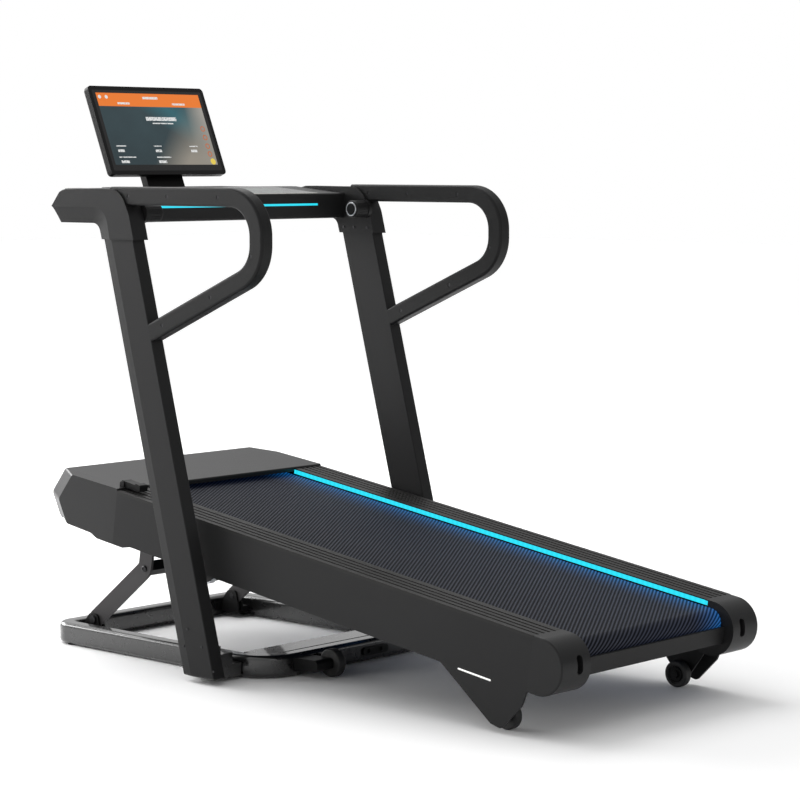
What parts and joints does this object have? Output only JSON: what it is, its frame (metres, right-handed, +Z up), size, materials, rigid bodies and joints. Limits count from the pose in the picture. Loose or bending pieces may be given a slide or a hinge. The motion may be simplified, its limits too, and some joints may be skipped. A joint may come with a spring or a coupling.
{
  "type": "incline treadmill",
  "caption": "Motorised incline treadmill: ribbed running belt between foot rails, motor hood, tubular base with lift arms, leaning posts, loop handrails, console with a tilting screen.",
  "frame": {"origin": "on the floor at the middle of the footprint", "axes": "+X the runner's right, +Y the way the runner faces, +Z up"},
  "size_m": [0.958, 1.8651, 1.5473],
  "materials": {
    "base_black": "gloss",
    "belt": "woven ribs",
    "black_plastic": "matte",
    "board": "sealed",
    "charcoal": "matte",
    "cyan_light": "glowing",
    "dark_plastic": "matte",
    "glass": "gloss",
    "hood_grey": "satin",
    "motor": "satin",
    "panel_glass": "gloss",
    "rail_plastic": "ribbed",
    "rubber": "matte",
    "screen_frame": "anodised",
    "steel_black": "satin",
    "zinc": "satin"
  },
  "bodies": {
    "frame": {"base_loop": "base_black", "base_crossbar": "base_black", "feet": "black_plastic", "pivot_brackets": "base_black", "rear_bar_fittings": "black_plastic", "post_left": "charcoal", "post_right": "charcoal", "post_brackets": "base_black", "elbow_cover_left": "dark_plastic", "elbow_cover_right": "dark_plastic", "handrail_tubes": "steel_black", "handrail_outer_left": "dark_plastic", "handrail_inner_left": "dark_plastic", "handrail_outer_right": "dark_plastic", "handrail_inner_right": "dark_plastic", "screws": "zinc", "console_body": "dark_plastic", "console_panel": "panel_glass", "console_led": "cyan_light", "console_beam": "steel_black", "screen_neck": "charcoal"},
    "screen": {"screen_bezel": "screen_frame", "screen_glass": "glass", "screen_back": "screen_frame", "screen_lugs": "steel_black"},
    "dial_left": {"knob_left": "dark_plastic"},
    "dial_right": {"knob_right": "dark_plastic"},
    "transport_roller": {"transport_wheel": "rubber"},
    "lift_frame": {"lift_arm_left": "steel_black", "lift_arm_right": "steel_black", "lift_cross_tube": "steel_black", "lift_pins": "zinc"},
    "deck": {"steel_rails": "steel_black", "cross_members": "steel_black", "deck_board": "board", "board_cushions": "rubber", "running_belt": "belt", "roller_shafts": "zinc", "foot_rail_left": "rail_plastic", "foot_rail_right": "rail_plastic", "led_strips": "cyan_light", "side_skirt_left": "charcoal", "side_skirt_right": "charcoal", "wheel_brackets": "steel_black", "end_cap_left": "dark_plastic", "end_cap_right": "dark_plastic", "rear_crossbar": "steel_black", "motor_hood": "hood_grey", "belly_pan": "black_plastic", "drive_motor": "motor", "drive_belt": "rubber", "control_box": "black_plastic"},
    "lift_drive": {"lift_motor": "motor"},
    "lift_screw": {"lift_rod": "zinc"},
    "front_roller": {"front_roller": "zinc"},
    "rear_roller": {"rear_roller": "zinc"},
    "motor_pulley": {"motor_pulley": "zinc"},
    "wheel_left": {"rear_wheel_left": "rubber"},
    "wheel_right": {"rear_wheel_right": "rubber"},
    "foot_lever": {"hood_lever": "black_plastic"}
  },
  "joints": [
    {"name": "screen_tilt", "type": "hinge", "parent": "frame", "child": "screen", "pos_m": [0, 0.86401, 1.33431], "axis": [-1, 0, 0], "range_deg": [-5, 12]},
    {"name": "dial_left_turn", "type": "hinge", "parent": "frame", "child": "dial_left", "pos_m": [-0.4, 0.45689, 1.203], "axis": [1, 0, 0], "continuous": true},
    {"name": "dial_right_turn", "type": "hinge", "parent": "frame", "child": "dial_right", "pos_m": [0.4, 0.45689, 1.203], "axis": [1, 0, 0], "continuous": true},
    {"name": "transport_wheel_roll", "type": "hinge", "parent": "frame", "child": "transport_roller", "pos_m": [-0.17, 0.01189, 0.037], "axis": [1, 0, 0], "continuous": true},
    {"name": "lift_swing", "type": "hinge", "parent": "frame", "child": "lift_frame", "pos_m": [0, 0.83989, 0.064], "axis": [1, 0, 0], "range_deg": [0, 38.19]},
    {"name": "deck_swing", "type": "hinge", "parent": "lift_frame", "child": "deck", "pos_m": [0, 0.6147, 0.32784], "axis": [1, 0, 0], "range_deg": [-46.49, 0]},
    {"name": "lift_drive_swing", "type": "hinge", "parent": "deck", "child": "lift_drive", "pos_m": [0.1, 0.27991, 0.28132], "axis": [1, 0, 0], "range_deg": [0, 18.67]},
    {"name": "lift_screw_run", "type": "slide", "parent": "lift_drive", "child": "lift_screw", "axis": [0, 0.9658, -0.2594], "range_m": [0, 0.06523]},
    {"name": "front_roller_turn", "type": "hinge", "parent": "deck", "child": "front_roller", "pos_m": [0, 0.66461, 0.41566], "axis": [1, 0, 0], "continuous": true},
    {"name": "rear_roller_turn", "type": "hinge", "parent": "deck", "child": "rear_roller", "pos_m": [0, -0.86539, 0.19382], "axis": [1, 0, 0], "continuous": true},
    {"name": "motor_pulley_turn", "type": "hinge", "parent": "deck", "child": "motor_pulley", "pos_m": [-0.288, 0.79725, 0.40685], "axis": [1, 0, 0], "continuous": true},
    {"name": "wheel_left_roll", "type": "hinge", "parent": "deck", "child": "wheel_left", "pos_m": [-0.335, -0.72811, 0.034], "axis": [1, 0, 0], "continuous": true},
    {"name": "wheel_right_roll", "type": "hinge", "parent": "deck", "child": "wheel_right", "pos_m": [0.335, -0.72811, 0.034], "axis": [1, 0, 0], "continuous": true},
    {"name": "foot_lever_lift", "type": "hinge", "parent": "deck", "child": "foot_lever", "pos_m": [-0.3455, 0.61383, 0.47322], "axis": [-1, 0, 0], "range_deg": [0, 40]}
  ],
  "couplings": [
    {"joint": "deck_swing", "follows": "lift_swing", "ratio": -1.216},
    {"joint": "lift_drive_swing", "follows": "lift_swing", "ratio": 0.48748},
    {"joint": "lift_screw_run", "follows": "lift_swing", "m_per_rad": 0.097101},
    {"joint": "rear_roller_turn", "follows": "front_roller_turn", "ratio": 1},
    {"joint": "motor_pulley_turn", "follows": "front_roller_turn", "ratio": 2.1111}
  ]
}
